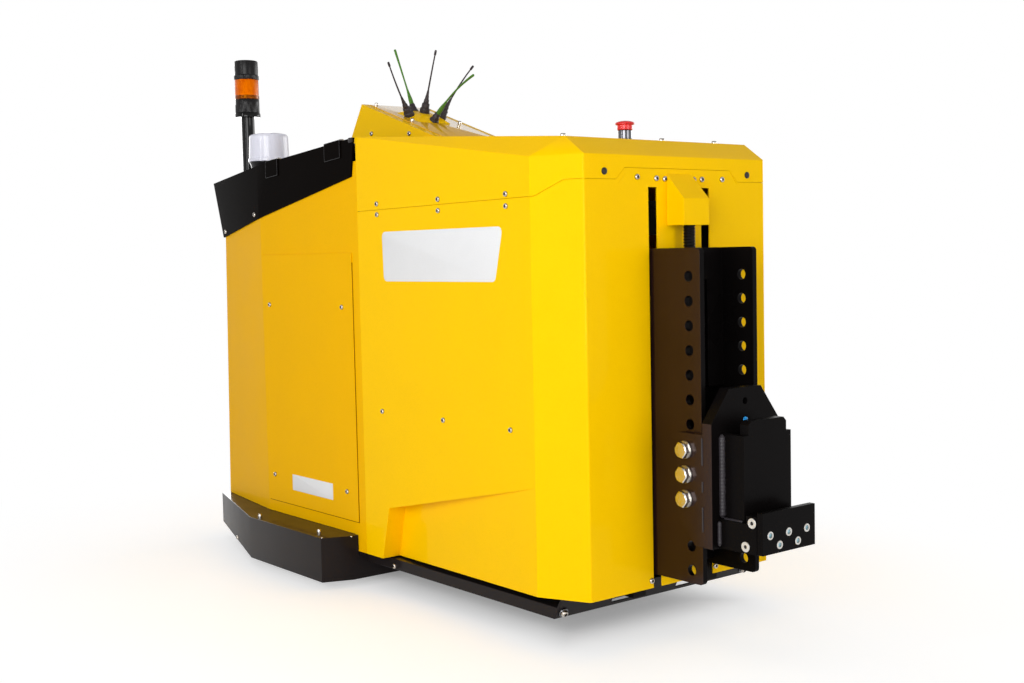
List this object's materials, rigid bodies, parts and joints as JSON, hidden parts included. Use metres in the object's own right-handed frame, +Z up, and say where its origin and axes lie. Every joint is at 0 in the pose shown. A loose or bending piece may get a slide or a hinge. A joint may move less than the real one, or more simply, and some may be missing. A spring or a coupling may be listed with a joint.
{
  "type": "electric tow tug",
  "caption": "Box-bodied electric tow tug with a lifting hitch carriage on its front, a sloped rear console with beacon and antennas, and wheels under the chassis.",
  "frame": {"origin": "on the floor under the middle of the tug's length, on its plane of symmetry", "axes": "+X towards the hitch, +Z up, +Y to the left of a driver facing the hitch"},
  "size_m": [1.9142, 0.818, 1.3816],
  "materials": {
    "black_paint": "satin black paint",
    "rod_chrome": "hard chrome",
    "yellow_paint": "gloss powder coat",
    "black_sheet": "gloss black paint",
    "dark_deck": "fine grain black",
    "screen": "blank screen in a black bezel",
    "red_plastic": "moulded red",
    "black_plastic": "moulded black",
    "amber_lens": "translucent amber",
    "white_plastic": "moulded white",
    "hose": "ribbed conduit",
    "hub_grey": "painted casting",
    "tyre": "solid rubber",
    "motor": "painted casting",
    "steel": "ground steel",
    "battery": "plain block",
    "ballast": "plain block",
    "green_plastic": "moulded green"
  },
  "bodies": {
    "chassis": {"chassis_frame": "black_paint", "base_box": "black_paint", "mast_frame": "black_paint", "lift_cylinder": "black_paint", "main_cover": "yellow_paint", "hood": "yellow_paint", "rear_shell": "yellow_paint", "access_panel_right": "yellow_paint", "access_panel_left": "yellow_paint", "console_shield": "black_sheet", "console_deck": "dark_deck", "antenna_housing": "yellow_paint", "antenna_boss": "yellow_paint", "operator_display": "screen", "estop_collar": "rod_chrome", "estop_button": "red_plastic", "beacon_stand": "black_plastic", "beacon_lens": "amber_lens", "beacon_cap": "black_plastic", "radome_base": "black_plastic", "radome": "white_plastic", "hose_cover": "yellow_paint", "lift_hose": "hose", "rear_axle": "steel", "battery_block": "battery", "ballast_block": "ballast", "antenna_whip_1": "black_plastic", "antenna_whip_2": "black_plastic", "antenna_whip_3": "black_plastic", "antenna_taper_1": "green_plastic", "antenna_taper_2": "green_plastic"},
    "lift_carriage": {"carriage": "black_paint", "lift_rod": "rod_chrome", "hitch_bracket": "black_paint", "hitch_arms": "black_paint", "hitch_bar": "black_paint"},
    "steer_turret": {"drive_turret": "hub_grey", "drive_motor": "motor"},
    "drive_wheel": {"drive_hub": "hub_grey", "drive_tyre_right": "tyre", "drive_tyre_left": "tyre"},
    "rear_wheel_right": {"rear_hub_right": "hub_grey", "rear_tyre_right": "tyre"},
    "rear_wheel_left": {"rear_hub_left": "hub_grey", "rear_tyre_left": "tyre"}
  },
  "joints": [
    {"name": "mast_lift", "type": "slide", "parent": "chassis", "child": "lift_carriage", "axis": [0, 0, 1], "range_m": [-0.06, 0.04]},
    {"name": "drive_steer", "type": "hinge", "parent": "chassis", "child": "steer_turret", "pos_m": [0.35908, 0, 0.3], "axis": [0, 0, 1], "range_deg": [-90, 90]},
    {"name": "drive_spin", "type": "hinge", "parent": "steer_turret", "child": "drive_wheel", "pos_m": [0.35908, 0, 0.12], "axis": [0, 1, 0], "continuous": true},
    {"name": "rear_spin_right", "type": "hinge", "parent": "chassis", "child": "rear_wheel_right", "pos_m": [-0.34092, -0.245, 0.1], "axis": [0, 1, 0], "continuous": true},
    {"name": "rear_spin_left", "type": "hinge", "parent": "chassis", "child": "rear_wheel_left", "pos_m": [-0.34092, 0.245, 0.1], "axis": [0, 1, 0], "continuous": true}
  ]
}
